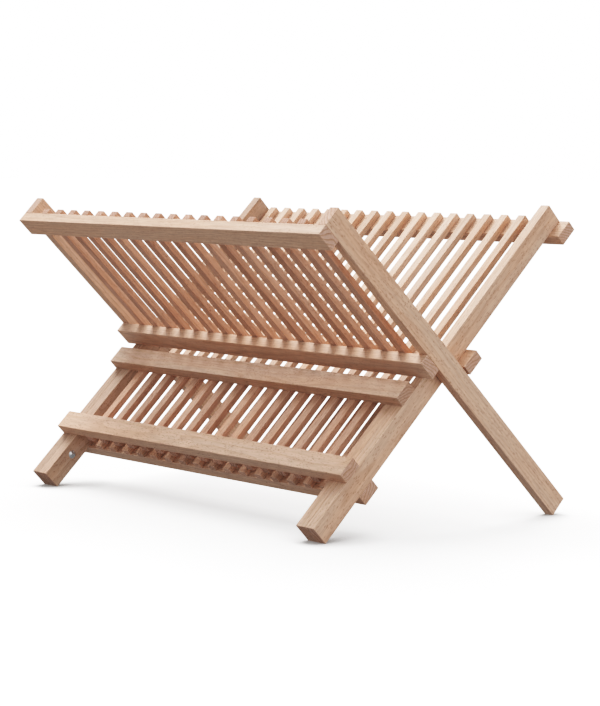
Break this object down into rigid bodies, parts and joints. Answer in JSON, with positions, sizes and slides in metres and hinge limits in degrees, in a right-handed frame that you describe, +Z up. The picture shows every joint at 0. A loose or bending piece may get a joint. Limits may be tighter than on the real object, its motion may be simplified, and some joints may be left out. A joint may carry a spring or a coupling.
{
  "type": "folding dish drying rack",
  "caption": "Folding wooden plate drying rack: two slatted frames cross like an X, turn on steel pins and fold flat.",
  "frame": {"origin": "on the ground under the pivot pins, midway between the four feet", "axes": "+X to the right along the rack, +Y to the back, +Z up; the inner frame's double-slatted lower half is at the front (-Y)"},
  "size_m": [0.398, 0.2702, 0.2491],
  "materials": {
    "frame_wood": "sanded beech, bare or thinly oiled",
    "slat_wood": "sanded beech, bare or thinly oiled",
    "steel": "plain zinc-plated steel"
  },
  "bodies": {
    "outer_frame": {"outer_leg_left": "frame_wood", "outer_leg_right": "frame_wood", "outer_top_bar": "frame_wood", "outer_middle_bar": "frame_wood", "outer_slat_01": "slat_wood", "outer_slat_02": "slat_wood", "outer_slat_03": "slat_wood", "outer_slat_04": "slat_wood", "outer_slat_05": "slat_wood", "outer_slat_06": "slat_wood", "outer_slat_07": "slat_wood", "outer_slat_08": "slat_wood", "outer_slat_09": "slat_wood", "outer_slat_10": "slat_wood", "outer_slat_11": "slat_wood", "outer_slat_12": "slat_wood", "outer_slat_13": "slat_wood", "outer_slat_14": "slat_wood", "outer_slat_15": "slat_wood", "outer_slat_16": "slat_wood", "outer_slat_17": "slat_wood", "outer_slat_18": "slat_wood", "pivot_pins": "steel", "pivot_washers": "steel"},
    "inner_frame": {"inner_leg_left": "frame_wood", "inner_leg_right": "frame_wood", "leg_doubler_left": "frame_wood", "leg_doubler_right": "frame_wood", "inner_top_bar": "frame_wood", "inner_middle_bar": "frame_wood", "inner_bottom_bar": "frame_wood", "front_upper_bar": "frame_wood", "front_lower_bar": "frame_wood", "inner_slat_01": "slat_wood", "inner_slat_02": "slat_wood", "inner_slat_03": "slat_wood", "inner_slat_04": "slat_wood", "inner_slat_05": "slat_wood", "inner_slat_06": "slat_wood", "inner_slat_07": "slat_wood", "inner_slat_08": "slat_wood", "inner_slat_09": "slat_wood", "inner_slat_10": "slat_wood", "inner_slat_11": "slat_wood", "inner_slat_12": "slat_wood", "inner_slat_13": "slat_wood", "inner_slat_14": "slat_wood", "inner_slat_15": "slat_wood", "inner_slat_16": "slat_wood", "inner_slat_17": "slat_wood", "inner_slat_18": "slat_wood", "front_slats": "slat_wood", "doubler_screws": "steel"}
  },
  "joints": [
    {"name": "fold", "type": "hinge", "parent": "outer_frame", "child": "inner_frame", "pos_m": [0, 0, 0.12456], "axis": [1, 0, 0], "range_deg": [0, 91.5]}
  ]
}
